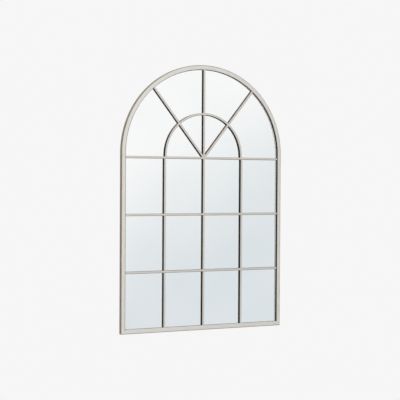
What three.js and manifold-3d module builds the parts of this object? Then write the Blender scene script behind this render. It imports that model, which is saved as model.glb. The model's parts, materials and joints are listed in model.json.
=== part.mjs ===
// Arched window mirror.
//
// A round-headed frame of rectangular steel tube holds a lattice of flat steel glazing bars, set a
// little back from its front: three bars across, three upright bars, and a fan of bars with a small
// inner arch in the head. One sheet of mirror glass stands behind the bars, then a foam sheet and a
// backing board, which turn buttons hold in. Two ring hangers and four rubber bumpers are on the back.
//
// Millimetres. +X is to the right, +Z is up and -Y is the side that faces the room.
// The origin is the middle of the bottom edge, halfway between the front and the bumpers' tips.

import * as THREE from 'three';
import { mergeVertices } from 'three/addons/utils/BufferGeometryUtils.js';
import Module from 'manifold-3d';

const wasm = await Module();
wasm.setup();

// ---------------------------------------------------------------- driving dimensions

// Outer frame: rectangular steel tube, mitred at the bottom corners, butted under the arch.
const frameWidth = 800;
const tubeFace = 20; // tube width seen from the front
const tubeWall = 1.5;
const archStilt = 15; // straight stile between the top of the spring bar and the arch

// Glazing bars: flat steel, welded in just behind the front of the tube.
const barWidth = 10;
const barThickness = 6;
const barSetback = 1.5; // from the front of the tube to the front of the bars
const paneHeight = 245; // clear height of a pane
const paneRows = 3; // rows of panes below the arch
const paneColumns = 4;
const innerArchInset = 3.5; // how far the inner arch springs inside the upright bars
const innerArchLeg = 5; // straight leg of the inner arch above the spring bar
const fanAngle = 51.5; // slope of the two slanted fan bars, in degrees

// Sheets behind the bars.
const glazingBed = 0.3; // silicone bed between the bars and the glass
const glassThickness = 4;
const glassEdgeGap = 1.5;
const foamThickness = 1.2;
const foamEdgeGap = 3;
const boardThickness = 9;
const boardEdgeGap = 1.5;

// Clearances.
const weldGap = 0.3; // root gap of a mitred or coped joint
const restGap = 0.3; // under a sheet that stands on the bottom rail
const slideGap = 0.3; // between a loose plate, pin or screw and what it bears on

// Pan-head screws of the turn buttons and the hangers.
const screwRadius = 1.75;
const screwReach = 5; // length of the thread inside the tube, past its wall
const screwHeadRadius = 2.9;
const screwHeadHeight = 2;
const slotWidth = 0.9;
const slotDepth = 0.9;

// Turn buttons.
const buttonLength = 22; // from the pivot to the centre of the rounded tip
const buttonRadius = 6;
const buttonThickness = 1.5;
const buttonRow1 = 250; // heights of the buttons on the stiles
const buttonRow2 = 590;
const railButtonOffset = 190; // sideways from the middle, on the bottom rail
const archButtonAngle = 52; // on the arch, above the horizontal

// Ring hangers on the stiles.
const hangerDrop = 14; // from the top of the stile down to the ring's pin
const wireRadius = 1.25;
const ringWidth = 14.5; // between the centres of the ring's two sides
const ringLeg = 8; // straight side of the ring
const ringCorner = 2.2; // bend beside the ring's pin
const strapWidth = 10;
const strapThickness = 1.2;
const strapLength = 30; // below the pin
const strapScrew1 = 8.5; // screws below the pin
const strapScrew2 = 24;

// Wall bumpers.
const bumperRadius = 5;
const bumperHeight = 6;
const bumperTipRadius = 3.5; // flat end that bears on the wall
const bumperRise = 34; // height of the lower pair
const archBumperAngle = 28;

// Roundness of the curves, as sides of a half circle.
const archSides = 64;
const smallSides = 8;

// ---------------------------------------------------------------- sizes that follow

const halfWidth = frameWidth / 2;
const clearHalf = halfWidth - tubeFace;
const pitchX = (2 * clearHalf + barWidth) / paneColumns; // all the panes clear the same width
const springZ = tubeFace + paneRows * paneHeight + (paneRows - 0.5) * barWidth;
const springTop = springZ + barWidth / 2;
const archZ = springTop + archStilt;
const innerArchZ = springTop + innerArchLeg;
const innerArchRadius = pitchX - innerArchInset;

const barBack = barSetback + barThickness;
const glassY = barBack + glazingBed;
const foamY = glassY + glassThickness;
const boardY = foamY + foamThickness;
const frameDepth = boardY + boardThickness;
const overallDepth = frameDepth + bumperHeight;

const tubeCentre = halfWidth - tubeFace / 2;
const railCentre = tubeFace / 2;

const eyeRadius = wireRadius + slideGap + strapThickness;
const ringPinY = frameDepth + eyeRadius;
const ringPinZ = archZ - hangerDrop;

// ---------------------------------------------------------------- finishes

function finish(color, roughness, metalness) {
  return () => new THREE.MeshStandardMaterial({ color, roughness, metalness });
}

const framePaint = finish('#cfcbc3', 0.6, 0.0);
const barPaint = finish('#c3beb4', 0.6, 0.0);
const mirrorGlass = finish('#dfe5e8', 0.03, 1.0);
const greyFoam = finish('#55585a', 0.95, 0.0);
const fibreboard = finish('#a07f5c', 0.85, 0.0);
const zincPlate = finish('#b9bcbe', 0.35, 0.9);
const screwSteel = finish('#a9acae', 0.3, 0.9);
const blackRubber = finish('#26272a', 0.8, 0.0);

// ---------------------------------------------------------------- making and joining solids

function solidOf(geometry) {
  const bare = geometry.clone();
  bare.deleteAttribute('normal');
  bare.deleteAttribute('uv');
  const merged = mergeVertices(bare, 1e-4);
  const mesh = new wasm.Mesh({
    numProp: 3,
    vertProperties: new Float32Array(merged.attributes.position.array),
    triVerts: new Uint32Array(merged.index.array),
  });
  return new wasm.Manifold(mesh);
}

function geometryOf(solid) {
  const mesh = solid.getMesh();
  const geometry = new THREE.BufferGeometry();
  geometry.setAttribute('position', new THREE.BufferAttribute(mesh.vertProperties, 3));
  geometry.setIndex(new THREE.BufferAttribute(mesh.triVerts, 1));
  geometry.computeVertexNormals();
  return geometry;
}

// A flat outline drawn in X and Z, made thick from y to y + thickness.
function plate(shape, y, thickness, facets = archSides) {
  const options = { depth: thickness, bevelEnabled: false, curveSegments: facets / 2 };
  const geometry = new THREE.ExtrudeGeometry(shape, options);
  geometry.rotateX(Math.PI / 2);
  geometry.translate(0, y + thickness, 0);
  return geometry;
}

// A box given by its two ends along each axis.
function block(x0, x1, y0, y1, z0, z1) {
  const geometry = new THREE.BoxGeometry(x1 - x0, y1 - y0, z1 - z0);
  geometry.translate((x0 + x1) / 2, (y0 + y1) / 2, (z0 + z1) / 2);
  return geometry;
}

// A round bar along Y, its corners in step with the facets of the arches.
function disc(radius, x, z, y0, y1, facets) {
  const geometry = new THREE.CylinderGeometry(radius, radius, y1 - y0, facets);
  geometry.translate(x, (y0 + y1) / 2, z);
  return geometry;
}

function polygon(points) {
  return new THREE.Shape(points.map(([x, z]) => new THREE.Vector2(x, z)));
}

// A half ring about (0, centreZ) with straight legs down to footZ.
function archBand(outer, inner, centreZ, footZ) {
  const shape = new THREE.Shape();
  shape.moveTo(outer, footZ);
  shape.lineTo(outer, centreZ);
  shape.absarc(0, centreZ, outer, 0, Math.PI, false);
  shape.lineTo(-outer, footZ);
  shape.lineTo(-inner, footZ);
  shape.lineTo(-inner, centreZ);
  shape.absarc(0, centreZ, inner, Math.PI, 0, true);
  shape.lineTo(inner, footZ);
  return shape;
}

// A round-headed sheet that clears the inside of the frame by sideGap and stands on its rail.
function archedSheet(sideGap) {
  const half = clearHalf - sideGap;
  const shape = new THREE.Shape();
  shape.moveTo(-half, tubeFace + restGap);
  shape.lineTo(half, tubeFace + restGap);
  shape.lineTo(half, archZ);
  shape.absarc(0, archZ, half, 0, Math.PI, false);
  return shape;
}

const group = new THREE.Group();
group.position.y = -overallDepth / 2;

function add(name, geometry, material) {
  const mesh = new THREE.Mesh(geometry, material());
  mesh.name = name;
  group.add(mesh);
  return mesh;
}

// ---------------------------------------------------------------- places of the back fittings

const radians = THREE.MathUtils.degToRad;

// A place on the tube's centre line: its position, and the angle of the way out of the frame.
function stilePlace(side, z) {
  return { x: side * tubeCentre, z, out: side > 0 ? 0 : Math.PI };
}

function archPlace(side, degrees) {
  const angle = side > 0 ? radians(degrees) : Math.PI - radians(degrees);
  return { x: tubeCentre * Math.cos(angle), z: archZ + tubeCentre * Math.sin(angle), out: angle };
}

function railPlace(side) {
  return { x: side * railButtonOffset, z: railCentre, out: -Math.PI / 2 };
}

const sides = { left: -1, right: 1 };
const buttons = [];
const hangers = [];
const bumpers = [];
for (const [name, side] of Object.entries(sides)) {
  buttons.push({ name: `rail_${name}`, ...railPlace(side) });
  buttons.push({ name: `low_${name}`, ...stilePlace(side, buttonRow1) });
  buttons.push({ name: `high_${name}`, ...stilePlace(side, buttonRow2) });
  buttons.push({ name: `arch_${name}`, ...archPlace(side, archButtonAngle) });
  hangers.push({ name, ...stilePlace(side, ringPinZ) });
  bumpers.push({ name: `low_${name}`, ...stilePlace(side, bumperRise) });
  bumpers.push({ name: `top_${name}`, ...archPlace(side, archBumperAngle) });
}

const screwPlaces = [...buttons];
for (const { x, z } of hangers) {
  screwPlaces.push({ x, z: z - strapScrew1 });
  screwPlaces.push({ x, z: z - strapScrew2 });
}

// ---------------------------------------------------------------- outer frame

// The screw holes go through the back wall of the tube only.
function drilled(solid) {
  let result = solid;
  for (const { x, z } of screwPlaces) {
    const hole = disc(screwRadius + slideGap, x, z, frameDepth - 2 * tubeWall, frameDepth + 1, 2 * smallSides);
    result = result.subtract(solidOf(hole));
  }
  return result;
}

function hollowTube(outside, bore) {
  return geometryOf(drilled(solidOf(outside).subtract(solidOf(bore))));
}

const boreY0 = tubeWall;
const boreDepth = frameDepth - 2 * tubeWall;
const overrun = 5; // how far a cutting solid runs past what it cuts

const archOutside = plate(archBand(halfWidth, clearHalf, archZ, archZ), 0, frameDepth);
const archBore = plate(
  archBand(halfWidth - tubeWall, clearHalf + tubeWall, archZ, archZ - overrun), boreY0, boreDepth);
add('arch_rail', hollowTube(archOutside, archBore), framePaint);

for (const [name, side] of Object.entries(sides)) {
  const outline = polygon([
    [side * halfWidth, 0],
    [side * clearHalf, tubeFace],
    [side * clearHalf, archZ],
    [side * halfWidth, archZ],
  ]);
  const boreHalf = tubeFace / 2 - tubeWall;
  const bore = block(side * tubeCentre - boreHalf, side * tubeCentre + boreHalf,
    boreY0, boreY0 + boreDepth, -overrun, archZ + overrun);
  add(`stile_${name}`, hollowTube(plate(outline, 0, frameDepth), bore), framePaint);
}

const mitreShift = weldGap * Math.SQRT2;
const railOutline = polygon([
  [-halfWidth + mitreShift, 0],
  [halfWidth - mitreShift, 0],
  [clearHalf - mitreShift, tubeFace],
  [-clearHalf + mitreShift, tubeFace],
]);
const railBore = block(-frameWidth, frameWidth, boreY0, boreY0 + boreDepth, tubeWall, tubeFace - tubeWall);
add('bottom_rail', hollowTube(plate(railOutline, 0, frameDepth), railBore), framePaint);

// ---------------------------------------------------------------- glazing bars

// The bars across, numbered from the bottom. The top one is the spring bar.
const crossBarZ = [];
for (let row = 1; row <= paneRows; row += 1) {
  crossBarZ.push(tubeFace + row * paneHeight + (row - 0.5) * barWidth);
}
crossBarZ.forEach((z, index) => {
  const name = index === paneRows - 1 ? 'spring_bar' : `cross_bar_${index + 1}`;
  const bar = block(-clearHalf, clearHalf, barSetback, barBack, z - barWidth / 2, z + barWidth / 2);
  add(name, bar, barPaint);
});

// The upright bars, a length in each row of panes.
for (let column = 1; column < paneColumns; column += 1) {
  const x = (column - paneColumns / 2) * pitchX;
  crossBarZ.forEach((z, index) => {
    const top = z - barWidth / 2;
    const left = x - barWidth / 2;
    const bar = block(left, left + barWidth, barSetback, barBack, top - paneHeight, top);
    add(`upright_${column}_row_${index + 1}`, bar, barPaint);
  });
}

// The inner arch stands on the spring bar.
const innerArch = archBand(
  innerArchRadius + barWidth / 2, innerArchRadius - barWidth / 2, innerArchZ, springTop);
add('inner_arch_bar', plate(innerArch, barSetback, barThickness), barPaint);

// The fan bars start at the middle of the spring bar. Each is in two lengths, one inside the
// inner arch and one from it to the frame, coped to the curves that they meet.
const fanInside = solidOf(disc(
  innerArchRadius - barWidth / 2 - weldGap, 0, innerArchZ, -overrun, frameDepth, 2 * archSides));
const fanBeyond = solidOf(disc(
  innerArchRadius + barWidth / 2 + weldGap, 0, innerArchZ, -overrun, frameDepth, 2 * archSides));
const fanLimit = solidOf(disc(clearHalf - weldGap, 0, archZ, -overrun, frameDepth, 2 * archSides));

function fanBar(degrees) {
  const length = frameWidth;
  const geometry = block(0, length, barSetback, barBack, -barWidth / 2, barWidth / 2);
  geometry.rotateY(-radians(degrees));
  geometry.translate(0, 0, springZ);
  return solidOf(geometry);
}

const centreKeepOut = solidOf(block(
  -barWidth / 2 - weldGap, barWidth / 2 + weldGap, -overrun, frameDepth, 0, archZ + frameWidth));
const springKeepOut = solidOf(block(
  -frameWidth, frameWidth, -overrun, frameDepth, 0, springTop + weldGap));

const fanBars = {
  left: fanBar(180 - fanAngle).subtract(centreKeepOut),
  centre: fanBar(90),
  right: fanBar(fanAngle).subtract(centreKeepOut),
};
for (const [name, whole] of Object.entries(fanBars)) {
  const above = whole.subtract(springKeepOut);
  add(`fan_${name}_inner`, geometryOf(above.intersect(fanInside)), barPaint);
  add(`fan_${name}_outer`, geometryOf(above.subtract(fanBeyond).intersect(fanLimit)), barPaint);
}

// ---------------------------------------------------------------- glass, foam and board

add('mirror_glass', plate(archedSheet(glassEdgeGap), glassY, glassThickness), mirrorGlass);
add('foam_sheet', plate(archedSheet(foamEdgeGap), foamY, foamThickness), greyFoam);
add('backing_board', plate(archedSheet(boardEdgeGap), boardY, boardThickness), fibreboard);

// ---------------------------------------------------------------- fittings on the back

// A pan-head screw along Y, driven in from the back. seatY is the face that its head bears on.
function panScrew(seatY) {
  const headY = seatY + slideGap;
  const tipY = frameDepth - tubeWall - screwReach;
  const rim = screwHeadHeight / 2;
  const crownRadius = screwHeadRadius - rim * Math.SQRT1_2;
  const profile = [
    [0, tipY],
    [screwRadius / 2, tipY],
    [screwRadius, tipY + screwRadius],
    [screwRadius, headY],
    [screwHeadRadius, headY],
    [screwHeadRadius, headY + rim],
    [crownRadius, headY + screwHeadHeight],
    [0, headY + screwHeadHeight],
  ].map(([radius, y]) => new THREE.Vector2(radius, y));
  const turned = solidOf(new THREE.LatheGeometry(profile, 2 * smallSides));
  const top = headY + screwHeadHeight;
  const slot = block(-tubeFace, tubeFace, top - slotDepth, top + overrun, -slotWidth / 2, slotWidth / 2);
  return geometryOf(turned.subtract(solidOf(slot)));
}

// A turn button, drawn about its pivot with its tip towards -X.
function buttonPlate() {
  const shape = new THREE.Shape();
  shape.absarc(0, 0, buttonRadius, -Math.PI / 2, Math.PI / 2, false);
  shape.absarc(-buttonLength, 0, buttonRadius, Math.PI / 2, 1.5 * Math.PI, false);
  const hole = new THREE.Path();
  hole.absarc(0, 0, screwRadius + slideGap, 0, 2 * Math.PI, true);
  shape.holes.push(hole);
  return plate(shape, frameDepth + slideGap, buttonThickness, smallSides);
}

for (const { name, x, z, out } of buttons) {
  const button = add(`turn_button_${name}`, buttonPlate(), zincPlate);
  button.position.set(x, 0, z);
  button.rotation.y = -out;
  const screw = add(`button_screw_${name}`, panScrew(frameDepth + slideGap + buttonThickness), screwSteel);
  screw.position.set(x, 0, z);
}

// A strap folded into an eye round the ring's pin, drawn in Y and Z about the pin.
function strapPlate() {
  const shape = new THREE.Shape();
  shape.moveTo(-eyeRadius, -strapLength);
  shape.lineTo(-eyeRadius, -eyeRadius);
  shape.absarc(0, 0, eyeRadius, Math.PI, -Math.PI / 2, true);
  shape.lineTo(strapThickness - eyeRadius, -eyeRadius);
  shape.lineTo(strapThickness - eyeRadius, -strapLength);
  const bore = new THREE.Path();
  bore.absarc(0, 0, wireRadius + slideGap, 0, 2 * Math.PI, false);
  shape.holes.push(bore);
  const options = { depth: strapWidth, bevelEnabled: false, curveSegments: smallSides };
  const geometry = new THREE.ExtrudeGeometry(shape, options);
  geometry.translate(0, 0, -strapWidth / 2);
  geometry.rotateX(Math.PI / 2);
  geometry.rotateZ(Math.PI / 2);
  return geometry;
}

function hangerStrap() {
  let strap = solidOf(strapPlate());
  for (const drop of [strapScrew1, strapScrew2]) {
    const hole = disc(screwRadius + slideGap, 0, -drop, -2 * eyeRadius, 0, 2 * smallSides);
    strap = strap.subtract(solidOf(hole));
  }
  return geometryOf(strap);
}

// Bends of a wire path: an arc about (x, z) from one angle to another, in steps.
function bend(x, z, radius, from, to, steps) {
  const points = [];
  for (let step = 0; step <= steps; step += 1) {
    const angle = from + ((to - from) * step) / steps;
    points.push([x + radius * Math.cos(angle), z + radius * Math.sin(angle)]);
  }
  return points;
}

// A closed ring of round wire along a path in X and Z.
function wireRing(path, radius, count) {
  const positions = [];
  const indices = [];
  const length = path.length;
  path.forEach(([x, z], index) => {
    const before = new THREE.Vector2(...path[(index + length - 1) % length]);
    const after = new THREE.Vector2(...path[(index + 1) % length]);
    const here = new THREE.Vector2(x, z);
    const incoming = here.clone().sub(before).normalize();
    const outgoing = after.clone().sub(here).normalize();
    const along = incoming.clone().add(outgoing).normalize();
    const stretch = 1 / along.dot(incoming);
    for (let side = 0; side < count; side += 1) {
      const angle = (2 * Math.PI * side) / count;
      const reach = radius * stretch * Math.cos(angle);
      positions.push(x + along.y * reach, radius * Math.sin(angle), z - along.x * reach);
      const next = (side + 1) % count;
      const ring = index * count;
      const nextRing = ((index + 1) % length) * count;
      indices.push(ring + side, nextRing + next, nextRing + side);
      indices.push(ring + side, ring + next, nextRing + next);
    }
  });
  const geometry = new THREE.BufferGeometry();
  geometry.setAttribute('position', new THREE.Float32BufferAttribute(positions, 3));
  geometry.setIndex(indices);
  geometry.computeVertexNormals();
  return geometry;
}

// The D-shaped ring, hanging from its straight pin.
function hangerRing() {
  const half = ringWidth / 2;
  const inset = half - ringCorner;
  const path = [
    ...bend(inset, -ringCorner, ringCorner, Math.PI / 2, 0, 4),
    ...bend(0, -ringLeg, half, 0, -Math.PI, 16),
    ...bend(-inset, -ringCorner, ringCorner, Math.PI, Math.PI / 2, 4),
  ];
  return wireRing(path, wireRadius, smallSides);
}

for (const { name, x, z } of hangers) {
  const strap = add(`hanger_strap_${name}`, hangerStrap(), zincPlate);
  strap.position.set(x, ringPinY, z);
  const ring = add(`hanger_ring_${name}`, hangerRing(), zincPlate);
  ring.position.set(x, ringPinY, z);
  [strapScrew1, strapScrew2].forEach((drop, index) => {
    const screw = add(`hanger_screw_${name}_${index + 1}`, panScrew(frameDepth + strapThickness), screwSteel);
    screw.position.set(x, 0, z - drop);
  });
}

// A rubber bumper: a short cylinder rounded over to a flat tip.
function bumperDome() {
  const wall = bumperHeight / 2;
  const roundRadius = bumperTipRadius + (bumperRadius - bumperTipRadius) * Math.SQRT1_2;
  const roundHeight = wall + (bumperHeight - wall) * Math.SQRT1_2;
  const profile = [
    [0, frameDepth],
    [bumperRadius, frameDepth],
    [bumperRadius, frameDepth + wall],
    [roundRadius, frameDepth + roundHeight],
    [bumperTipRadius, frameDepth + bumperHeight],
    [0, frameDepth + bumperHeight],
  ].map(([radius, y]) => new THREE.Vector2(radius, y));
  return new THREE.LatheGeometry(profile, 2 * smallSides);
}

for (const { name, x, z } of bumpers) {
  const bumper = add(`wall_bumper_${name}`, bumperDome(), blackRubber);
  bumper.position.set(x, 0, z);
}

export default group;
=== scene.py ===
# Arched window mirror: the painted steel lattice, the silvered glass and the fittings on the back.
# Metres, +X to the right, +Z up, and -Y is the side that faces the room.

import itertools
import json
import math
import random

import bmesh
import bpy
from mathutils import Matrix, Vector


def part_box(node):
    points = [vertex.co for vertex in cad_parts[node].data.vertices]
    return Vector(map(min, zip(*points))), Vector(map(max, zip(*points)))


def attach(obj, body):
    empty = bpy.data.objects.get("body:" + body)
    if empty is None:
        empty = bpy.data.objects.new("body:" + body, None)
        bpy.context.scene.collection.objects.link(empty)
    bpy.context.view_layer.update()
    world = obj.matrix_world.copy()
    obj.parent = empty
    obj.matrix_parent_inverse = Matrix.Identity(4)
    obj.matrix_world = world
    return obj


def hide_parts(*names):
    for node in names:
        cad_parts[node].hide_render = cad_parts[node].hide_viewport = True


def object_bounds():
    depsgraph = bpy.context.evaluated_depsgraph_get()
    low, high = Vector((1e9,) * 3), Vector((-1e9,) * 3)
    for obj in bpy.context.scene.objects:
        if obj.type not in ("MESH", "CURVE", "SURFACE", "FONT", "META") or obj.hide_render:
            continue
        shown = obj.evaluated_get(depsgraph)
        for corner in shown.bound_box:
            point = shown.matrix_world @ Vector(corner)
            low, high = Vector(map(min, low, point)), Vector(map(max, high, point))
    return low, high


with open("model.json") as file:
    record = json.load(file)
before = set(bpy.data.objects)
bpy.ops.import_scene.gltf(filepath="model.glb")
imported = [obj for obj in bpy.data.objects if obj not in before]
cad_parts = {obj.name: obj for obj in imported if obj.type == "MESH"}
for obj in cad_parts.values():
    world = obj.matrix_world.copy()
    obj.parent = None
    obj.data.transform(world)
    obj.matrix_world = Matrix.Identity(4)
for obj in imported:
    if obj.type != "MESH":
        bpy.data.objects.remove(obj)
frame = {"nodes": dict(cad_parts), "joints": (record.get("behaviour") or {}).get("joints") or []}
cad_low, cad_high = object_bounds()


# ---------------------------------------------------------------- camera
# A long lens nearly five metres away, left of the mirror and level with its middle, turned to the
# right, so that the left sides of the frame and of every upright bar are seen.

CAMERA_YAW = math.radians(25.64)
CAMERA_PITCH = math.radians(-1.04)
CAMERA_ROLL = math.radians(0.33)
CAMERA_DISTANCE = 4.871
CAMERA_TARGET = Vector((-0.0196, cad_low.y, 0.5901))
CAMERA_LENS = 96.83

camera_turn = Matrix.Rotation(-CAMERA_YAW, 4, "Z")
camera_turn = camera_turn @ Matrix.Rotation(math.pi / 2 + CAMERA_PITCH, 4, "X")
camera_turn = camera_turn @ Matrix.Rotation(CAMERA_ROLL, 4, "Z")
camera = bpy.data.objects.new("camera", bpy.data.cameras.new("camera"))
camera.data.lens = CAMERA_LENS
camera.matrix_world = (
    Matrix.Translation(CAMERA_TARGET) @ camera_turn @ Matrix.Translation((0, 0, CAMERA_DISTANCE))
)
bpy.context.scene.collection.objects.link(camera)
bpy.context.scene.camera = camera
bpy.context.scene.view_settings.view_transform = "Standard"


# ---------------------------------------------------------------- studio
# A plain white studio. The mirror faces a part of it that falls off from white, up and to the left,
# to a pale blue grey, down and to the right. One broad lamp stands in front to the left and a
# weaker one behind; the matt floor lies well below, because the mirror hangs, and fades out.

BACKDROP = "#f6f6f6"
SEEN_WHITE = "#fdfdfd"
SEEN_GREY = "#e1e7ea"
SEEN_FALL = (3.586, 0.0, -5.459)
SEEN_START = -1.073
AMBIENT = 0.53
KEY_PLACE = (-2.6, -2.8, 3.0)
KEY_SIDE = 2.8
KEY_SHARE = 0.44
BACK_PLACE = (2.4, 3.4, 2.6)
BACK_SIDE = 2.4
BACK_SHARE = 0.34
LAMP_TARGET = Vector((0.0, 0.0, 0.6))
FLOOR_COLOUR = "#f7f7f7"
FLOOR_DEPTH = 0.9
FLOOR_RADIUS = 3.0
FLOOR_SOLID = 1.3
FLOOR_SIDES = 128


def linear(colour):
    """An sRGB hex colour as linear red, green, blue and alpha."""
    values = [int(colour[place:place + 2], 16) / 255 for place in (1, 3, 5)]
    return [v / 12.92 if v <= 0.04045 else ((v + 0.055) / 1.055) ** 2.4 for v in values] + [1.0]


def add_node(tree, kind, inputs=None, **settings):
    """Adds a node with its settings. inputs gives sockets a value or another node's output."""
    made = tree.nodes.new(kind)
    for name, value in settings.items():
        setattr(made, name, value)
    for name, value in (inputs or {}).items():
        socket = made.inputs[name]
        if isinstance(value, bpy.types.NodeSocket):
            tree.links.new(value, socket)
        else:
            socket.default_value = value
    return made


def begin_material(name):
    """A new material, its node tree and its main shader."""
    material = bpy.data.materials.new(name)
    material.use_nodes = True
    return material, material.node_tree, material.node_tree.nodes["Principled BSDF"]


world = bpy.data.worlds.new("white_studio")
bpy.context.scene.world = world
world.use_nodes = True
tree = world.node_tree
tree.nodes.clear()
path = add_node(tree, "ShaderNodeLightPath")
direction = add_node(tree, "ShaderNodeTexCoord").outputs["Generated"]
fall = add_node(
    tree, "ShaderNodeVectorMath", {0: direction, 1: SEEN_FALL}, operation="DOT_PRODUCT"
)
shifted = add_node(tree, "ShaderNodeMath", {0: fall.outputs["Value"], 1: SEEN_START}, operation="ADD")
faded = add_node(
    tree, "ShaderNodeMapRange", {"Value": shifted.outputs[0]}, interpolation_type="SMOOTHSTEP"
)
seen = add_node(
    tree, "ShaderNodeMix",
    {0: faded.outputs["Result"], 6: linear(SEEN_WHITE), 7: linear(SEEN_GREY)},
    data_type="RGBA",
)
seen_light = add_node(tree, "ShaderNodeBackground", {"Color": seen.outputs[2], "Strength": 1.0})
soft_light = add_node(tree, "ShaderNodeBackground", {"Color": (1, 1, 1, 1), "Strength": AMBIENT})
backdrop = add_node(tree, "ShaderNodeBackground", {"Color": linear(BACKDROP), "Strength": 1.0})
mirrored = add_node(
    tree, "ShaderNodeMath",
    {0: path.outputs["Is Glossy Ray"], 1: path.outputs["Is Transmission Ray"]},
    operation="MAXIMUM",
)
around = add_node(
    tree, "ShaderNodeMixShader",
    {0: mirrored.outputs[0], 1: soft_light.outputs[0], 2: seen_light.outputs[0]},
)
whole = add_node(
    tree, "ShaderNodeMixShader",
    {0: path.outputs["Is Camera Ray"], 1: around.outputs[0], 2: backdrop.outputs[0]},
)
add_node(tree, "ShaderNodeOutputWorld", {"Surface": whole.outputs[0]})


def hang_lamp(name, place, side, share):
    """A square soft lamp. share is its part of the light on the face of the mirror turned to it."""
    away = Vector(place) - LAMP_TARGET
    lamp = bpy.data.objects.new(name, bpy.data.lights.new(name, "AREA"))
    lamp.data.size = side
    lamp.data.energy = share * math.pi ** 2 * away.length ** 3 / abs(away.y)
    lamp.matrix_world = Matrix.Translation(place) @ away.to_track_quat("Z", "Y").to_matrix().to_4x4()
    lamp.visible_camera = False
    lamp.visible_glossy = False
    lamp.visible_transmission = False
    bpy.context.scene.collection.objects.link(lamp)


hang_lamp("key_lamp", KEY_PLACE, KEY_SIDE, KEY_SHARE)
hang_lamp("back_lamp", BACK_PLACE, BACK_SIDE, BACK_SHARE)

floor_mesh = bpy.data.meshes.new("floor")
floor_rim = [2 * math.pi * step / FLOOR_SIDES for step in range(FLOOR_SIDES)]
floor_mesh.from_pydata(
    [(FLOOR_RADIUS * math.cos(a), FLOOR_RADIUS * math.sin(a), -FLOOR_DEPTH) for a in floor_rim],
    [],
    [range(FLOOR_SIDES)],
)
floor = bpy.data.objects.new("floor", floor_mesh)
bpy.context.scene.collection.objects.link(floor)
floor.visible_glossy = False
floor.visible_transmission = False
floor_material, tree, matt = begin_material("pale_floor")
matt.inputs["Base Color"].default_value = linear(FLOOR_COLOUR)
matt.inputs["Roughness"].default_value = 1.0
matt.inputs["Specular IOR Level"].default_value = 0.0
place = add_node(tree, "ShaderNodeTexCoord").outputs["Object"]
level = add_node(tree, "ShaderNodeVectorMath", {0: place, 1: (1, 1, 0)}, operation="MULTIPLY")
radius = add_node(tree, "ShaderNodeVectorMath", {0: level.outputs[0]}, operation="LENGTH")
fade = add_node(
    tree, "ShaderNodeMapRange",
    {"Value": radius.outputs["Value"], "From Min": FLOOR_SOLID, "From Max": FLOOR_RADIUS},
    interpolation_type="SMOOTHERSTEP",
)
clear = add_node(tree, "ShaderNodeBsdfTransparent")
mixed = add_node(
    tree, "ShaderNodeMixShader",
    {0: fade.outputs["Result"], 1: matt.outputs[0], 2: clear.outputs[0]},
)
tree.links.new(mixed.outputs[0], tree.nodes["Material Output"].inputs["Surface"])
floor_mesh.materials.append(floor_material)


# ---------------------------------------------------------------- outer frame
# Rectangular steel tube with rounded corners: two stiles and a bottom rail mitred together and an
# arch bent from the same tube, welded and ground flush. It is sprayed dark brown, then stone paint
# is brushed on: thick on the face and streaky on the outer sides. Which way a side or edge faces also
# sets how thick the paint is drawn, as painted light and shade: the inner side is drawn light only
# where it faces up, and the outer edges that face down are drawn thinner.

MM = 0.001
TUBE_CORNER = 2.2 * MM
RIM_WIDTH = 2.4 * MM
SEAM = 0.05 * MM
ARCH_STEPS = 160
CORNER_STEPS = 6
CORNER_FADE = 0.5  # share of a corner's turn over which the paint goes from one side's to the next's
FACE_POINTS = 5
SMOOTH_BELOW = math.radians(32)

STONE_LIGHT = "#dad8d3"
STONE_DEEP = "#cdcac4"
THIN_STONE = "#a39585"
BASE_COAT_AND_SHADE = "#2c2620"
UNEVENNESS = 0.6
THIN_FROM = 0.4
FULL_FROM = 0.8
FULL_AT = 1.1
PAINT_SHINE = 0.2
THIN_ROUGHNESS = 0.5
FULL_ROUGHNESS = 0.65

# Brush marks run along the bar. The real ones are about a third of a millimetre wide, too fine to
# show, so they are drawn two to three times as wide.
STREAK_LENGTH = 45 * MM
STREAK_WIDTH = 1.1 * MM
STREAK_DETAIL = 4.0
BRISTLE_WIDTH = 0.7 * MM
BRISTLE_DETAIL = 1.0
BRISTLE_SHARE = 0.35
FILM_THICKNESS = 0.12 * MM
FILM_RELIEF = 0.6
CLOUD_SIZE = 45 * MM
CLOUD_DETAIL = 2.0

# How thick the paint is drawn on each side of the tube where that side faces left, right, up and
# down. Apart from the face and the back, the differences between the directions are painted light
# and shade: the inner side is light only where it faces up, and the rims are lighter or darker by
# the way they face.
TUBE_COVER_AND_SHADING = {
    "face": (1.0, 1.0, 1.0, 1.0),
    "outer rim": (0.66, 0.6, 0.5, 0.45),
    "outer side": (0.29, 0.34, 0.34, 0.32),
    "back": (0.08, 0.08, 0.08, 0.08),
    "inner side": (0.0, 0.0, 0.8, 0.0),
    "inner rim": (0.05, 0.42, 0.8, 0.8),
}

arch_low, arch_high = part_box("arch_rail")
stile_low, stile_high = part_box("stile_right")
rail_low, rail_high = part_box("bottom_rail")
frame_half = arch_high.x
arch_z = arch_low.z
front, back = arch_low.y, arch_high.y
tube_half = (stile_high.x - stile_low.x) / 2
tube_centre = frame_half - tube_half
clear_half = frame_half - 2 * tube_half
rail_half = (rail_high.z - rail_low.z) / 2


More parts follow.
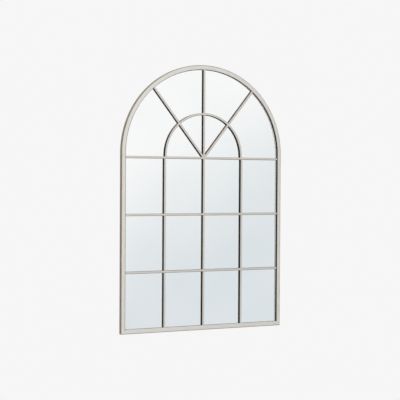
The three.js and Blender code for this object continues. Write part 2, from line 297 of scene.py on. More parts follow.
def brushed_paint_with_shading(name, light, deep):
    """Stone paint brushed over a dark base coat. The attribute read here says how thick it lies, and
    also holds painted light and shade, set higher or lower by which way each side faces.

    Where it lies thick it is chalky and slightly clouded, and where it is thin the base coat shows
    through in streaks and shines a little more."""
    material, tree, shader = begin_material(name)
    cover_and_shading = add_node(tree, "ShaderNodeAttribute", attribute_name="cover_and_shading").outputs["Fac"]
    along = add_node(tree, "ShaderNodeUVMap", uv_map="along_bar").outputs["UV"]
    strokes = []
    for width, detail in ((STREAK_WIDTH, STREAK_DETAIL), (BRISTLE_WIDTH, BRISTLE_DETAIL)):
        scale = (1 / STREAK_LENGTH, 1 / width, 1)
        drawn = add_node(tree, "ShaderNodeVectorMath", {0: along, 1: scale}, operation="MULTIPLY")
        noise = {"Vector": drawn.outputs[0], "Scale": 1.0, "Detail": detail}
        strokes.append(add_node(tree, "ShaderNodeTexNoise", noise).outputs["Fac"])
    streak, bristle = strokes
    cloud = add_node(
        tree, "ShaderNodeTexNoise",
        {"Vector": along, "Scale": 1 / CLOUD_SIZE, "Detail": CLOUD_DETAIL},
    )
    # The paint value from the attribute holds painted light and shade by facing, so the thin and full
    # masks below carry that painted light and shade too, and the dark base coat also serves as painted
    # shade.
    laid_and_shaded = add_node(
        tree, "ShaderNodeMath", {0: streak, 1: UNEVENNESS, 2: cover_and_shading}, operation="MULTIPLY_ADD"
    )
    thin = add_node(
        tree, "ShaderNodeMapRange",
        {"Value": laid_and_shaded.outputs[0], "From Min": THIN_FROM, "From Max": FULL_FROM},
        interpolation_type="SMOOTHSTEP",
    )
    full = add_node(
        tree, "ShaderNodeMapRange",
        {"Value": laid_and_shaded.outputs[0], "From Min": FULL_FROM, "From Max": FULL_AT},
        interpolation_type="SMOOTHSTEP",
    )
    stone = add_node(
        tree, "ShaderNodeMix",
        {0: cloud.outputs["Fac"], 6: linear(light), 7: linear(deep)},
        data_type="RGBA",
    )
    film = add_node(
        tree, "ShaderNodeMix",
        {0: thin.outputs["Result"], 6: linear(BASE_COAT_AND_SHADE), 7: linear(THIN_STONE)},
        data_type="RGBA",
    )
    colour = add_node(
        tree, "ShaderNodeMix",
        {0: full.outputs["Result"], 6: film.outputs[2], 7: stone.outputs[2]},
        data_type="RGBA",
    )
    tree.links.new(colour.outputs[2], shader.inputs["Base Color"])
    sheen = add_node(
        tree, "ShaderNodeMapRange",
        {"Value": full.outputs["Result"], "To Min": THIN_ROUGHNESS, "To Max": FULL_ROUGHNESS},
    )
    tree.links.new(sheen.outputs["Result"], shader.inputs["Roughness"])
    shader.inputs["Specular IOR Level"].default_value = PAINT_SHINE
    height = add_node(
        tree, "ShaderNodeMath", {0: bristle, 1: BRISTLE_SHARE, 2: full.outputs["Result"]},
        operation="MULTIPLY_ADD",
    )
    raised = add_node(
        tree, "ShaderNodeBump",
        {"Height": height.outputs[0], "Distance": FILM_THICKNESS, "Strength": FILM_RELIEF},
    )
    tree.links.new(raised.outputs["Normal"], shader.inputs["Normal"])
    return material


def steel_section(half, depths, corner, rim, covers_and_shading, face_points=FACE_POINTS):
    """The outline of a bar as (offset, depth, paint) points, round from the inner edge of its face. The
    paint values are the drawn paint thickness with painted light and shade in them, one for each way
    a side can face.
    """
    near, far = depths
    flat = half - corner
    points = [(-flat, near, covers_and_shading["inner rim"])]
    offsets = [-flat + 2 * flat * step / (face_points - 1) for step in range(1, face_points - 1)]
    for offset in sorted(offsets + [rim - flat, flat - rim]):
        points.append((offset, near, covers_and_shading["face"]))
    corners = [
        (flat, near + corner, -90, "outer rim", "outer side"),
        (flat, far - corner, 0, "outer side", "back"),
        (-flat, far - corner, 90, "back", "inner side"),
        (-flat, near + corner, 180, "inner side", "inner rim"),
    ]
    for offset, depth, start, before, after in corners:
        for step in range(CORNER_STEPS + 1):
            share = step / CORNER_STEPS
            angle = math.radians(start + 90 * share)
            turned = min(1.0, share / CORNER_FADE)
            cover_and_shading = [b + (a - b) * turned for b, a in zip(covers_and_shading[before], covers_and_shading[after])]
            points.append((offset + corner * math.cos(angle), depth + corner * math.sin(angle), cover_and_shading))
    return points[:-1]


def finish_mesh(mesh):
    """Faces out, and round stretches shaded as round ones."""
    shaped = bmesh.new()
    shaped.from_mesh(mesh)
    bmesh.ops.recalc_face_normals(shaped, faces=shaped.faces)
    shaped.to_mesh(mesh)
    shaped.free()
    mesh.shade_smooth()
    mesh.set_sharp_from_angle(angle=SMOOTH_BELOW)


def sweep(name, section, line_at, start=0.0):
    """A closed bar. line_at(offset) is the line in X and Z that a point of the section follows."""
    rows = [line_at(offset) for offset, depth, cover_and_shading in section]
    middle = line_at(0.0)
    count = len(middle)
    size = len(section)
    corners = []
    for (offset, depth, cover_and_shading), row in zip(section, rows):
        corners += [(x, depth, z) for x, z in row]
    faces = []
    for i in range(size):
        j = (i + 1) % size
        for k in range(count - 1):
            faces.append((i * count + k, j * count + k, j * count + k + 1, i * count + k + 1))
    faces.append([i * count for i in range(size)])
    faces.append([i * count + count - 1 for i in reversed(range(size))])
    mesh = bpy.data.meshes.new(name)
    mesh.from_pydata(corners, [], faces)
    reach = [start]
    for before, after in zip(middle, middle[1:]):
        reach.append(reach[-1] + math.dist(before, after))
    girth = [0.0]
    for index, point in enumerate(section):
        girth.append(girth[-1] + math.dist(point[:2], section[(index + 1) % size][:2]))
    layout = mesh.uv_layers.new(name="along_bar")
    for face in mesh.polygons:
        wraps = face.index // (count - 1) == size - 1
        for loop in face.loop_indices:
            i, k = divmod(mesh.loops[loop].vertex_index, count)
            around = girth[size] if wraps and i == 0 else girth[i]
            layout.data[loop].uv = (reach[k], around)
    before_each = middle[:1] + middle[:-1]
    after_each = middle[1:] + middle[-1:]
    ahead = [(Vector(b) - Vector(a)).normalized() for a, b in zip(before_each, after_each)]
    # Each point's paint value is chosen by which way its side faces at that place along the bar: left
    # or right where the bar runs upright, up or down where it runs level. These differences are painted
    # light and shade.
    paint_and_shading = []
    for offset, depth, (left, right, up, down) in section:
        for step in ahead:
            level = right if step.y * offset > 0 else left
            leaning = up if -step.x * offset > 0 else down
            paint_and_shading.append(level * step.y ** 2 + leaning * step.x ** 2)
    mesh.attributes.new("cover_and_shading", "FLOAT", "POINT").data.foreach_set("value", paint_and_shading)
    finish_mesh(mesh)
    return mesh


def fit_piece(name, mesh, material, body, slot, *nodes):
    """Puts a mesh on its body in place of the nodes that it stands for."""
    if not mesh.materials:
        mesh.materials.append(material)
    piece = bpy.data.objects.new(name, mesh)
    bpy.context.scene.collection.objects.link(piece)
    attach(piece, body)
    if nodes:
        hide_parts(*nodes)
    return piece


def even_shading(piece):
    """Lets the wide flat faces set the shading beside their rounded corners."""
    weighted = piece.modifiers.new("even_shading", "WEIGHTED_NORMAL")
    weighted.keep_sharp = True


frame_paint = brushed_paint_with_shading("brushed_stone_paint_and_shading_on_tube", STONE_LIGHT, STONE_DEEP)
tube_section = steel_section(tube_half, (front, back), TUBE_CORNER, RIM_WIDTH, TUBE_COVER_AND_SHADING)
rail_section = steel_section(rail_half, (front, back), TUBE_CORNER, RIM_WIDTH, TUBE_COVER_AND_SHADING)


def round_points(x, z, radius, start, turn, steps):
    """Points on an arc about a place in X and Z, over a turn in radians."""
    angles = [start + turn * step / steps for step in range(steps + 1)]
    return [(x + radius * math.cos(angle), z + radius * math.sin(angle)) for angle in angles]


def arch_line(offset):
    """The bent tube, from its right foot over to its left one."""
    return round_points(0.0, arch_z, tube_centre + offset, 0.0, math.pi, ARCH_STEPS)


def stile_line(side):
    """The straight tube at one side, cut at the mitre below."""
    def line(offset):
        foot = (tube_half - offset) * rail_half / tube_half + SEAM
        x = side * (tube_centre + offset)
        return [(x, foot), (x, arch_z)] if side > 0 else [(x, arch_z), (x, foot)]
    return line


def rail_line(offset):
    """The bottom tube, cut at the mitre at each end."""
    end = frame_half - (rail_half - offset) * tube_half / rail_half - SEAM
    return [(-end, rail_half - offset), (end, rail_half - offset)]


arch_length = math.pi * tube_centre
tube_pieces = [
    ("stile_right", tube_section, stile_line(1), 0.0),
    ("arch_rail", tube_section, arch_line, arch_z),
    ("stile_left", tube_section, stile_line(-1), arch_z + arch_length),
    ("bottom_rail", rail_section, rail_line, 2 * arch_z + arch_length),
]
for node, section, line, start in tube_pieces:
    mesh = sweep(f"{node}_tube", section, line, start)
    piece = fit_piece(f"{node}_tube", mesh, frame_paint, "frame", "frame_paint", node)
    even_shading(piece)


# ---------------------------------------------------------------- glazing bars
# Flat steel bar, eased at its edges, welded into the tube just behind its face and finished like
# it. Its sides are drawn in the dark base coat as painted shade, except where they face up, where
# they are drawn painted over as painted light; its edges are drawn darker where they face left or
# down, also as painted shade.

BAR_CORNER = 0.8 * MM
BAR_RIM = 1.6 * MM
BRUSH_START = 10  # metres along the brush pattern, beyond the stretch that the tube takes up
BAR_LIGHT = "#d1cdc8"
BAR_DEEP = "#c4c0ba"
INNER_ARCH_STEPS = 96
FAN_ANGLE = math.radians(51.5)
FAN_FACE_POINTS = 15
UPRIGHT_BELOW = 0.1

# How thick the paint is drawn on each side of a bar where that side faces left, right, up and down.
# Off the face, the values are painted light and shade: sides that face up are drawn light, the other
# sides dark, and the rims lighter where they face right and darker where they face left or down.
BAR_COVER_AND_SHADING = {
    "face": (1.0, 1.0, 1.0, 1.0),
    "outer rim": (0.05, 0.8, 0.5, 0.1),
    "outer side": (0.0, 0.1, 0.8, 0.0),
    "back": (0.0, 0.0, 0.0, 0.0),
    "inner side": (0.0, 0.1, 0.8, 0.0),
    "inner rim": (0.05, 0.8, 0.5, 0.1),
}

bar_paint = brushed_paint_with_shading("brushed_stone_paint_and_shading_on_bars", BAR_LIGHT, BAR_DEEP)
spring_low, spring_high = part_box("spring_bar")
bar_half = (spring_high.z - spring_low.z) / 2
spring_z = (spring_high.z + spring_low.z) / 2
spring_top = spring_high.z
bar_depths = (spring_low.y, spring_high.y)
bar_section = steel_section(bar_half, bar_depths, BAR_CORNER, BAR_RIM, BAR_COVER_AND_SHADING)
into_tube = clear_half + TUBE_CORNER
into_bar = BAR_CORNER
brush_starts = itertools.count(BRUSH_START)


def straight(start, end):
    """A straight bar between two points on its middle line."""
    ahead = (Vector(end) - Vector(start)).normalized()
    aside = Vector((ahead.y, -ahead.x))
    def line(offset):
        return [tuple(Vector(start) + aside * offset), tuple(Vector(end) + aside * offset)]
    return line


def fit_bar(node, section, line):
    """A painted bar in place of its node, each a metre further along the brush pattern."""
    mesh = sweep(f"{node}_steel", section, line, next(brush_starts))
    piece = fit_piece(f"{node}_steel", mesh, bar_paint, "frame", "bar_paint", node)
    even_shading(piece)


for node in ("cross_bar_1", "cross_bar_2", "spring_bar"):
    low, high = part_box(node)
    z = (low.z + high.z) / 2
    fit_bar(node, bar_section, straight((-into_tube, z), (into_tube, z)))

for column in (1, 2, 3):
    for row in (1, 2, 3):
        node = f"upright_{column}_row_{row}"
        low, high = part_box(node)
        x = (low.x + high.x) / 2
        foot = low.z - (TUBE_CORNER if row == 1 else into_bar)
        fit_bar(node, bar_section, straight((x, foot), (x, high.z + into_bar)))

inner_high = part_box("inner_arch_bar")[1]
inner_radius = inner_high.x - bar_half
inner_z = inner_high.z - inner_high.x


def inner_arch_line(offset):
    """The small arch with its two short legs on the spring bar."""
    reach = inner_radius + offset
    foot = spring_top - into_bar
    bow = round_points(0.0, inner_z, reach, 0.0, math.pi, INNER_ARCH_STEPS)
    return [(reach, foot)] + bow + [(-reach, foot)]


fit_bar("inner_arch_bar", bar_section, inner_arch_line)


def fan_line(angle, inside):
    """One length of a fan bar, cut to the bars and the arches that it meets."""
    ahead = Vector((math.cos(angle), math.sin(angle)))
    aside = Vector((ahead.y, -ahead.x))
    foot = Vector((0.0, spring_z))
    flat = bar_half - BAR_CORNER

    def reach(offset, middle, radius):
        from_middle = foot + aside * offset - middle
        half_way = from_middle.dot(ahead)
        return -half_way + math.sqrt(half_way ** 2 - from_middle.length_squared + radius ** 2)

    def line(offset):
        base = foot + aside * offset
        small = Vector((0.0, inner_z))
        if inside:
            begin = (spring_top - BAR_CORNER - base.y) / ahead.y
            # A slanted bar also stops at the side of the upright one.
            if abs(ahead.x) > UPRIGHT_BELOW:
                begin = max(begin, (math.copysign(flat, ahead.x) - base.x) / ahead.x)
            finish = reach(offset, small, inner_radius - flat)
        else:
            begin = reach(offset, small, inner_radius + flat)
            finish = reach(offset, Vector((0.0, arch_z)), into_tube)
        return [tuple(base + ahead * begin), tuple(base + ahead * finish)]
    return line


fan_section = steel_section(
    bar_half, bar_depths, BAR_CORNER, BAR_RIM, BAR_COVER_AND_SHADING, FAN_FACE_POINTS
)
fan_angles = {"left": math.pi - FAN_ANGLE, "centre": math.pi / 2, "right": FAN_ANGLE}
for name, angle in fan_angles.items():
    fit_bar(f"fan_{name}_inner", fan_section, fan_line(angle, True))
    fit_bar(f"fan_{name}_outer", fan_section, fan_line(angle, False))


# ---------------------------------------------------------------- mirror
# One sheet of 4 mm clear float glass, silvered on its back. The reflection lies a glass thickness
# behind the surface, so each bar shows a dark band of its own side beside it.

SILVER_INSET = 0.1 * MM
SILVER_THICKNESS = 0.06 * MM
SILVER_EDGE = 0.35 * MM
GLASS_IOR = 1.52
GLASS_TINTS = ("#ffffff", "#fdfefe")
SILVER_TINTS = ("#fbfbfb", "#f9fafa")
TINT_SIZE = 300 * MM
TINT_DETAIL = 1.0
MOTTLE_FROM = 0.35
MOTTLE_TO = 0.65


def mottled(tree, place, size, detail, tones):
    """A colour that wanders between two tones over a real size."""
    drift = add_node(tree, "ShaderNodeTexNoise", {"Vector": place, "Scale": 1 / size, "Detail": detail})
    steep = add_node(
        tree, "ShaderNodeMapRange",
        {"Value": drift.outputs["Fac"], "From Min": MOTTLE_FROM, "From Max": MOTTLE_TO},
    )
    mixed = add_node(
        tree, "ShaderNodeMix",
        {0: steep.outputs["Result"], 6: linear(tones[0]), 7: linear(tones[1])},
        data_type="RGBA",
    )
    return mixed.outputs[2]


def finish_node(node, material):
    """Gives a carried solid its real finish."""
    solid = frame["nodes"][node]
    solid.data.materials.clear()
    solid.data.materials.append(material)
    return solid


# Float glass is flat and free of colour: it is seen only by what stands behind it and at its edge.
glass_material, tree, shader = begin_material("clear_float_glass")
where = add_node(tree, "ShaderNodeTexCoord").outputs["Object"]
glass_tint = mottled(tree, where, TINT_SIZE, TINT_DETAIL, GLASS_TINTS)
tree.links.new(glass_tint, shader.inputs["Base Color"])
shader.inputs["Roughness"].default_value = 0.0
shader.inputs["IOR"].default_value = GLASS_IOR
shader.inputs["Transmission Weight"].default_value = 1.0
finish_node("mirror_glass", glass_material)

# Silver laid down wet on the glass: a perfect mirror that gives back nearly all the light, and is
# a trace cooler in places.
silver_material, tree, shader = begin_material("chemically_deposited_silver")
where = add_node(tree, "ShaderNodeTexCoord").outputs["Object"]
silver_tint = mottled(tree, where, TINT_SIZE, TINT_DETAIL, SILVER_TINTS)
tree.links.new(silver_tint, shader.inputs["Base Color"])
shader.inputs["Metallic"].default_value = 1.0
shader.inputs["Roughness"].default_value = 0.0


def arched_outline(half, foot):
    """A round-headed outline in X and Z, from its right foot round to its left one."""
    bow = round_points(0.0, arch_z, half, 0.0, math.pi, ARCH_STEPS)
    return [(half, foot)] + bow + [(-half, foot)]


def punched_plate(name, loops, near, far):
    """A flat plate between two depths. loops are its outline and its holes, in X and Z."""
    shape = bmesh.new()
    for loop in loops:
        ring = [shape.verts.new((x, near, z)) for x, z in loop]
        for before, after in zip(ring, ring[1:] + ring[:1]):
            shape.edges.new((before, after))
    bmesh.ops.triangle_fill(shape, edges=shape.edges[:], use_beauty=True)
    lifted = bmesh.ops.extrude_face_region(shape, geom=shape.faces[:])
    corners = [part for part in lifted["geom"] if isinstance(part, bmesh.types.BMVert)]
    bmesh.ops.translate(shape, verts=corners, vec=(0, far - near, 0))
    mesh = bpy.data.meshes.new(name)
    shape.to_mesh(mesh)
    shape.free()
    finish_mesh(mesh)
    return mesh


glass_low, glass_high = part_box("mirror_glass")
silver_far = glass_high.y - SILVER_INSET
silver_outline = arched_outline(glass_high.x - SILVER_EDGE, glass_low.z + SILVER_EDGE)
silver_near = silver_far - SILVER_THICKNESS
silver_mesh = punched_plate("silver_coat", [silver_outline], silver_near, silver_far)
fit_piece("silver_coat", silver_mesh, silver_material, "frame", "mirror")


# ---------------------------------------------------------------- silicone bead
# A bead of dark silicone between the edge of the glass and the tube holds the glass all the way
# round and keeps light from passing beside it. Smooth, a little glossy and slightly wavy along its
# length, as a tooled bead is.

BEAD_TONES = ("#34322f", "#292725")
BEAD_ROUGHNESS = 0.45
BEAD_SHINE = 0.3
BEAD_WAVE = 12 * MM
BEAD_WAVE_DETAIL = 1.0
BEAD_WAVE_DEPTH = 0.1 * MM
BEAD_RELIEF = 0.5

# The bead starts a hair off the glass and runs a little way into the tube, so that no light passes.
BEAD_GAP = 0.02 * MM
BEAD_BITE = 0.2 * MM


def raise_surface(tree, shader, height, depth, strength):
    """Bump from a height, over a real depth."""
    bump = add_node(
        tree, "ShaderNodeBump", {"Height": height, "Distance": depth, "Strength": strength}
    )
    tree.links.new(bump.outputs["Normal"], shader.inputs["Normal"])


bead_material, tree, shader = begin_material("dark_glazing_silicone")
where = add_node(tree, "ShaderNodeTexCoord").outputs["Object"]
wave = add_node(
    tree, "ShaderNodeTexNoise",
    {"Vector": where, "Scale": 1 / BEAD_WAVE, "Detail": BEAD_WAVE_DETAIL},
)
bead_tone = mottled(tree, where, BEAD_WAVE, BEAD_WAVE_DETAIL, BEAD_TONES)
tree.links.new(bead_tone, shader.inputs["Base Color"])
shader.inputs["Roughness"].default_value = BEAD_ROUGHNESS
shader.inputs["Specular IOR Level"].default_value = BEAD_SHINE
raise_surface(tree, shader, wave.outputs["Fac"], BEAD_WAVE_DEPTH, BEAD_RELIEF)
bead_loops = [
    arched_outline(clear_half + BEAD_BITE, rail_high.z - BEAD_BITE),
    arched_outline(glass_high.x + BEAD_GAP, glass_low.z - BEAD_GAP),
]
bead_mesh = punched_plate("silicone_bead", bead_loops, glass_low.y, glass_high.y)
fit_piece("silicone_bead", bead_mesh, bead_material, "frame", "rubber")


# ---------------------------------------------------------------- foam and backing board
# A sheet of closed-cell polyethylene foam keeps the board off the paint of the silvering: dull,
# with a skin pitted by its cells. The board is bare fibreboard, sanded, with eased edges: matt,
# speckled with fibres and softly clouded.

# The foam's cells and the board's fibres are too fine to show, so both are drawn two to three times
# as coarse as the real ones.
FOAM_TONES = ("#55585b", "#3f4245")
FOAM_ROUGHNESS = 0.9
FOAM_CELL = 1.8 * MM
FOAM_DETAIL = 1.0
FOAM_CELL_DEPTH = 0.4 * MM
FOAM_RELIEF = 0.7
BOARD_TONES = ("#a3825f", "#997853")
BOARD_ROUGHNESS = 0.82
BOARD_CLOUD_SIZE = 90 * MM
BOARD_DETAIL = 3.0
BOARD_FIBRE_TONE = "#b99873"
BOARD_FIBRE_SIZE = 0.9 * MM
BOARD_FIBRE_FROM = 0.5
BOARD_FIBRE_TO = 0.75
BOARD_FIBRE_SHARE = 0.5
BOARD_FIBRE_DEPTH = 0.06 * MM
BOARD_RELIEF = 0.5
BOARD_EASING = 0.6 * MM

foam_material, tree, shader = begin_material("closed_cell_polyethylene_foam")
where = add_node(tree, "ShaderNodeTexCoord").outputs["Object"]
cells = add_node(tree, "ShaderNodeTexVoronoi", {"Vector": where, "Scale": 1 / FOAM_CELL})
foam_tone = mottled(tree, where, FOAM_CELL, FOAM_DETAIL, FOAM_TONES)
tree.links.new(foam_tone, shader.inputs["Base Color"])
shader.inputs["Roughness"].default_value = FOAM_ROUGHNESS
raise_surface(tree, shader, cells.outputs["Distance"], FOAM_CELL_DEPTH, FOAM_RELIEF)
finish_node("foam_sheet", foam_material)

board_material, tree, shader = begin_material("sanded_fibreboard")
where = add_node(tree, "ShaderNodeTexCoord").outputs["Object"]
fibres = add_node(
    tree, "ShaderNodeTexNoise",
    {"Vector": where, "Scale": 1 / BOARD_FIBRE_SIZE, "Detail": BOARD_DETAIL},
)
bright = add_node(
    tree, "ShaderNodeMapRange",
    {
        "Value": fibres.outputs["Fac"],
        "From Min": BOARD_FIBRE_FROM,
        "From Max": BOARD_FIBRE_TO,
        "To Max": BOARD_FIBRE_SHARE,
    },
)
ground = mottled(tree, where, BOARD_CLOUD_SIZE, BOARD_DETAIL, BOARD_TONES)
speckled = add_node(
    tree, "ShaderNodeMix",
    {0: bright.outputs["Result"], 6: ground, 7: linear(BOARD_FIBRE_TONE)},
    data_type="RGBA",
)
tree.links.new(speckled.outputs[2], shader.inputs["Base Color"])
shader.inputs["Roughness"].default_value = BOARD_ROUGHNESS
raise_surface(tree, shader, fibres.outputs["Fac"], BOARD_FIBRE_DEPTH, BOARD_RELIEF)
board = finish_node("backing_board", board_material)
eased = board.modifiers.new("eased_edges", "BEVEL")
eased.width = BOARD_EASING
eased.segments = 2
eased.limit_method = "ANGLE"


# ---------------------------------------------------------------- turn buttons
# Stamped strip steel with rounded ends, zinc plated: each turns on its screw and laps over the
# board. The plating is bright and slightly clouded, with scuffs from the tumbling barrel, which are
# drawn coarser than the real hair-fine ones so that they show.

BUTTON_REACH = 22 * MM
BUTTON_RADIUS = 6 * MM
BUTTON_HOLE = 2.05 * MM
BUTTON_EASING = 0.25 * MM
ROUND_STEPS = 24
QUARTER_TURN = math.pi / 2
ZINC_TONES = ("#c6cacd", "#b3b7ba")
ZINC_ROUGHNESS = (0.24, 0.42)
ZINC_CLOUD = 9 * MM
ZINC_DETAIL = 2.0
ZINC_GRAIN = 0.8 * MM
ZINC_GRAIN_DEPTH = 0.02 * MM
ZINC_RELIEF = 0.4


def nodes_with(words):
    """The names of the solids that hold these words, in order."""
    return [node for node in sorted(frame["nodes"]) if words in node]


def plated_steel(name, tones, roughness):
    """Zinc on steel: a metal whose roughness and tone drift a little."""
    material, tree, shader = begin_material(name)
    where = add_node(tree, "ShaderNodeTexCoord").outputs["Object"]
    grain = add_node(
        tree, "ShaderNodeTexNoise",
        {"Vector": where, "Scale": 1 / ZINC_GRAIN, "Detail": ZINC_DETAIL},
    )
    tree.links.new(mottled(tree, where, ZINC_CLOUD, ZINC_DETAIL, tones), shader.inputs["Base Color"])
    satin = add_node(
        tree, "ShaderNodeMapRange",
        {"Value": grain.outputs["Fac"], "To Min": roughness[0], "To Max": roughness[1]},
    )
    tree.links.new(satin.outputs["Result"], shader.inputs["Roughness"])
    shader.inputs["Metallic"].default_value = 1.0
    raise_surface(tree, shader, grain.outputs["Fac"], ZINC_GRAIN_DEPTH, ZINC_RELIEF)
    return material


def ease_edges(piece, width):
    """Takes the sharpness off the edges of a stamped or cut piece."""
    eased = piece.modifiers.new("eased_edges", "BEVEL")
    eased.width = width
    eased.segments = 2
    eased.limit_method = "ANGLE"
    eased.harden_normals = True


bright_zinc = plated_steel("bright_zinc_plate", ZINC_TONES, ZINC_ROUGHNESS)
for node in nodes_with("turn_button_"):
    name = node.removeprefix("turn_button_")
    low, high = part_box(node)
    screw_low, screw_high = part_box(f"button_screw_{name}")
    pivot = (screw_low + screw_high) / 2
    toward = (low + high) / 2 - pivot
    aim = math.atan2(toward.z, toward.x)
    tip_x = pivot.x + BUTTON_REACH * math.cos(aim)
    tip_z = pivot.z + BUTTON_REACH * math.sin(aim)
    outline = round_points(pivot.x, pivot.z, BUTTON_RADIUS, aim + QUARTER_TURN, math.pi, ROUND_STEPS)
    outline += round_points(tip_x, tip_z, BUTTON_RADIUS, aim - QUARTER_TURN, math.pi, ROUND_STEPS)
    hole = round_points(pivot.x, pivot.z, BUTTON_HOLE, 0.0, 2 * math.pi, ROUND_STEPS)[:-1]
    mesh = punched_plate(f"{node}_plate", [outline, hole], low.y, high.y)
    piece = fit_piece(mesh.name, mesh, bright_zinc, f"button_{name}", "zinc", node)
    ease_edges(piece, BUTTON_EASING)


# ---------------------------------------------------------------- screws
# Zinc-plated steel screws with a slotted pan head, driven through the back wall of the tube. No two
# slots end up at the same angle. A little brighter than the plates, with a rolled, rounded head.

HEAD_RADIUS = 2.9 * MM
HEAD_HEIGHT = 2.0 * MM
HEAD_EASING = 0.15 * MM
HEAD_WALL = 0.4  # straight part of the head, as a share of its height
CROWN_CORE = 0.6  # middle of the crown, inside the rounding, as a share of its radius
CROWN_TURN = math.radians(72)
SHOULDER_STEPS = 8
SHANK_RADIUS = 1.75 * MM
SLOT_WIDTH = 0.9 * MM
SLOT_DEPTH = 0.9 * MM
SCREW_TONES = ("#c9cbcc", "#b9bbbc")
SCREW_ROUGHNESS = (0.18, 0.3)
TURNED_SIDES = 40
SLOT_SEED = 12

slot_turns = random.Random(SLOT_SEED)


def turned(name, profile, x, z):
    """A body turned about a line along Y. profile is (radius, depth), from the axis to the axis."""
    corners = [(x, profile[0][1], z), (x, profile[-1][1], z)]
    rings = profile[1:-1]
    for radius, depth in rings:
        for side in range(TURNED_SIDES):
            angle = 2 * math.pi * side / TURNED_SIDES
            corners.append((x + radius * math.cos(angle), depth, z + radius * math.sin(angle)))
    faces = []
    last = 2 + (len(rings) - 1) * TURNED_SIDES
    for side in range(TURNED_SIDES):
        after = (side + 1) % TURNED_SIDES
        faces.append((0, 2 + after, 2 + side))
        faces.append((1, last + side, last + after))
        for ring in range(len(rings) - 1):
            here = 2 + ring * TURNED_SIDES
            beyond = here + TURNED_SIDES
            faces.append((here + side, here + after, beyond + after, beyond + side))
    mesh = bpy.data.meshes.new(name)
    mesh.from_pydata(corners, [], faces)
    finish_mesh(mesh)
    return mesh


def box_mesh(name, size, place, turn):
    """A block turned about Y, used to cut with."""
    shape = bmesh.new()
    move = Matrix.Translation(place) @ Matrix.Rotation(turn, 4, "Y") @ Matrix.Diagonal((*size, 1))
    bmesh.ops.create_cube(shape, size=1.0, matrix=move)
    mesh = bpy.data.meshes.new(name)
    shape.to_mesh(mesh)
    shape.free()
    return mesh


def cut_away(mesh, cutter):
    """What is left of a closed mesh when another is cut out of it."""
    body = bpy.data.objects.new("body", mesh)
    tool = bpy.data.objects.new("tool", cutter)
    bpy.context.scene.collection.objects.link(body)
    bpy.context.scene.collection.objects.link(tool)
    difference = body.modifiers.new("cut", "BOOLEAN")
    difference.object = tool
    difference.operation = "DIFFERENCE"
    difference.solver = "EXACT"
    evaluated = body.evaluated_get(bpy.context.evaluated_depsgraph_get())
    left = bpy.data.meshes.new_from_object(evaluated)
    bpy.data.objects.remove(body)
    bpy.data.objects.remove(tool)
    finish_mesh(left)
    return left


screw_steel = plated_steel("zinc_plated_screw_steel", SCREW_TONES, SCREW_ROUGHNESS)
for node in nodes_with("_screw_"):
    low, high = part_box(node)
    x, z = (low.x + high.x) / 2, (low.z + high.z) / 2
    seat = high.y - HEAD_HEIGHT
    profile = [
        (0.0, low.y),
        (SHANK_RADIUS / 2, low.y),
        (SHANK_RADIUS, low.y + SHANK_RADIUS),
        (SHANK_RADIUS, seat),
        (HEAD_RADIUS - HEAD_EASING, seat),
        (HEAD_RADIUS, seat + HEAD_EASING),
        (HEAD_RADIUS, seat + HEAD_HEIGHT * HEAD_WALL),
    ]
    for reach, rise in round_points(0.0, 0.0, 1.0, 0.0, CROWN_TURN, SHOULDER_STEPS)[1:]:
        crown_radius = HEAD_RADIUS * (CROWN_CORE + (1 - CROWN_CORE) * reach)
        crown_height = HEAD_HEIGHT * (HEAD_WALL + (1 - HEAD_WALL) * rise)
        profile.append((crown_radius, seat + crown_height))
    profile.append((0.0, high.y))
    head = turned(node, profile, x, z)
    slot_size = (4 * HEAD_RADIUS, 2 * SLOT_DEPTH, SLOT_WIDTH)
    slot_turn = slot_turns.uniform(0, math.pi)
    slot_block = box_mesh("slot", slot_size, (x, high.y, z), slot_turn)
    mesh = cut_away(head, slot_block)
    fit_piece(f"{node}_turned", mesh, screw_steel, "frame", "screw", node)


# ---------------------------------------------------------------- ring hangers
# A strap of zinc-plated strip curled round the straight side of a D ring of 2.5 mm wire, screwed to
# the back of each stile. The ring swings on the strap and hangs on a hook in the wall.

STRAP_THICKNESS = 1.2 * MM
STRAP_HOLE = 2.05 * MM
STRAP_EASING = 0.2 * MM
WIRE_RADIUS = 1.25 * MM
RING_HALF = 7.25 * MM
RING_LEG = 8 * MM
RING_CORNER = 2.2 * MM
RING_CORNER_STEPS = 8
RING_BOW_STEPS = 32
CURL_TURN = -1.5 * math.pi
CURL_STEPS = 36
WIRE_SIDES = 16
SWAP_X_AND_Y = Matrix(((0, 1, 0, 0), (1, 0, 0, 0), (0, 0, 1, 0), (0, 0, 0, 1)))


def wire_loop(name, path, x, y, z):
    """Round wire bent to a closed path in X and Z about a place."""
    corners = []
    faces = []
    count = len(path)
    for index, here in enumerate(path):
        before, after = Vector(path[index - 1]), Vector(path[(index + 1) % count])
        ahead = (after - before).normalized()
        for side in range(WIRE_SIDES):
            angle = 2 * math.pi * side / WIRE_SIDES
            reach = WIRE_RADIUS * math.cos(angle)
            corners.append((
                x + here[0] + ahead.y * reach,
                y + WIRE_RADIUS * math.sin(angle),
                z + here[1] - ahead.x * reach,
            ))
            beside = (side + 1) % WIRE_SIDES
            ring, following = index * WIRE_SIDES, (index + 1) % count * WIRE_SIDES
            faces.append((ring + side, ring + beside, following + beside, following + side))
    mesh = bpy.data.meshes.new(name)
    mesh.from_pydata(corners, [], faces)
    finish_mesh(mesh)
    return mesh


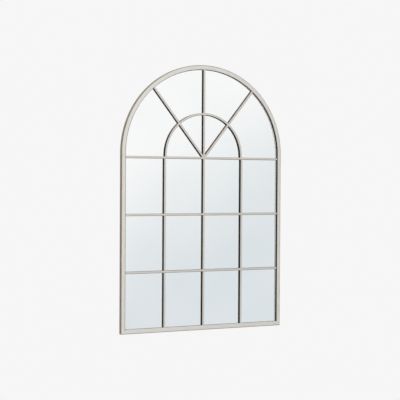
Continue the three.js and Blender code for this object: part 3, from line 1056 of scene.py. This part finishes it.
for joint in frame["joints"]:
    if not joint["child"].startswith("ring_"):
        continue
    side = joint["child"].removeprefix("ring_")
    pin = Vector(joint["pos_m"])
    corner_x = RING_HALF - RING_CORNER
    path = round_points(
        corner_x, -RING_CORNER, RING_CORNER, QUARTER_TURN, -QUARTER_TURN, RING_CORNER_STEPS
    )
    path += round_points(0, -RING_LEG, RING_HALF, 0.0, -math.pi, RING_BOW_STEPS)
    path += round_points(
        -corner_x, -RING_CORNER, RING_CORNER, math.pi, -QUARTER_TURN, RING_CORNER_STEPS
    )
    mesh = wire_loop(f"hanger_ring_{side}_wire", path, *pin)
    fit_piece(mesh.name, mesh, bright_zinc, f"ring_{side}", "zinc", f"hanger_ring_{side}")

    node = f"hanger_strap_{side}"
    low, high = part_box(node)
    eye_radius = high.z - pin.z
    bore_radius = eye_radius - STRAP_THICKNESS
    leaf_far = low.y + STRAP_THICKNESS
    curl = round_points(pin.y, pin.z, eye_radius, math.pi, CURL_TURN, CURL_STEPS)
    curl_end = (leaf_far, pin.z - eye_radius)
    outline = [(low.y, low.z)] + curl + [curl_end, (leaf_far, low.z)]
    bore = round_points(pin.y, pin.z, bore_radius, 0.0, 2 * math.pi, ROUND_STEPS)[:-1]
    mesh = punched_plate(f"{node}_strip", [outline, bore], low.x, high.x)
    mesh.transform(SWAP_X_AND_Y)
    for number in (1, 2):
        screw_low, screw_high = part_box(f"hanger_screw_{side}_{number}")
        screw_z = (screw_low.z + screw_high.z) / 2
        profile = [(0.0, low.y - MM), (STRAP_HOLE, low.y - MM), (STRAP_HOLE, pin.y), (0.0, pin.y)]
        mesh = cut_away(mesh, turned("hole", profile, pin.x, screw_z))
    piece = fit_piece(f"{node}_strip", mesh, bright_zinc, "frame", "zinc", node)
    ease_edges(piece, STRAP_EASING)


# ---------------------------------------------------------------- wall bumpers
# Moulded black rubber, stuck to the back of the tube: round, with a rounded shoulder and a flat tip.
# Matt, with the grain of a spark-eroded mould, drawn several times as coarse as the real one.

BUMPER_TIP = 3.5 * MM
BUMPER_SHOULDER = 0.5  # rounded part, as a share of the height
RUBBER_TONES = ("#2b2c2f", "#222326")
RUBBER_ROUGHNESS = 0.75
RUBBER_CLOUD = 3 * MM
RUBBER_GRAIN = 0.5 * MM
RUBBER_DETAIL = 2.0
RUBBER_GRAIN_DEPTH = 0.03 * MM
RUBBER_RELIEF = 0.5

rubber, tree, shader = begin_material("matt_moulded_rubber")
where = add_node(tree, "ShaderNodeTexCoord").outputs["Object"]
grain = add_node(
    tree, "ShaderNodeTexNoise",
    {"Vector": where, "Scale": 1 / RUBBER_GRAIN, "Detail": RUBBER_DETAIL},
)
rubber_tone = mottled(tree, where, RUBBER_CLOUD, RUBBER_DETAIL, RUBBER_TONES)
tree.links.new(rubber_tone, shader.inputs["Base Color"])
shader.inputs["Roughness"].default_value = RUBBER_ROUGHNESS
raise_surface(tree, shader, grain.outputs["Fac"], RUBBER_GRAIN_DEPTH, RUBBER_RELIEF)
for node in nodes_with("wall_bumper_"):
    low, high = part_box(node)
    x, z = (low.x + high.x) / 2, (low.z + high.z) / 2
    radius, height = (high.x - low.x) / 2, high.y - low.y
    shoulder = height * BUMPER_SHOULDER
    wall = high.y - shoulder
    profile = [(0.0, low.y), (radius, low.y), (radius, wall)]
    for reach, rise in round_points(0.0, 0.0, 1.0, 0.0, QUARTER_TURN, SHOULDER_STEPS)[1:]:
        profile.append((BUMPER_TIP + (radius - BUMPER_TIP) * reach, wall + shoulder * rise))
    profile.append((0.0, high.y))
    mesh = turned(f"{node}_moulding", profile, x, z)
    fit_piece(f"{node}_moulding", mesh, rubber, "frame", "rubber", node)
